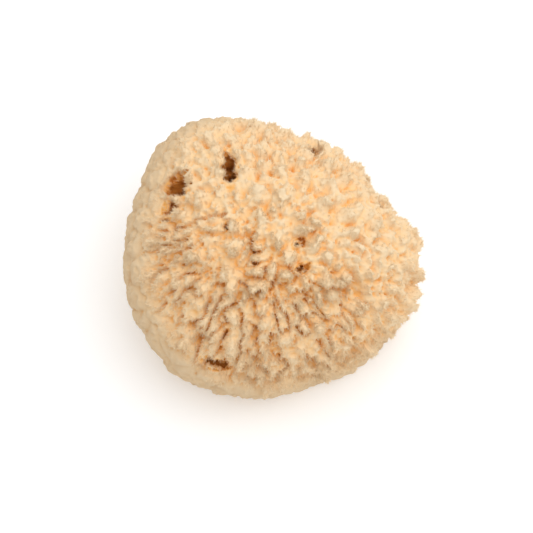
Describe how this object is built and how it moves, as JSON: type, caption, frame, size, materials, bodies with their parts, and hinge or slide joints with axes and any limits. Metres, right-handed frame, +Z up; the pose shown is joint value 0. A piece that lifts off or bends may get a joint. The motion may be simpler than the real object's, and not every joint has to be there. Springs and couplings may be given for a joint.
{
  "type": "sea sponge",
  "caption": "Natural wool sea sponge for the bath: a low rounded dome of small tufts with deep pores, cut off flat to stand on.",
  "frame": {"origin": "on the flat cut under the sponge, below the middle of its plan", "axes": "+Z up out of the cut through the crown; +X towards the narrow end of the rounded triangle that the plan makes; -Y towards the viewer in the picture; the two large pores and the smooth flank are on the -X side"},
  "size_m": [0.139, 0.1346, 0.0851],
  "materials": {
    "sponge": "matte, fibrous, cream at the tips and orange-brown in the pores"
  },
  "bodies": {
    "root": {"sponge": "sponge"}
  },
  "joints": []
}
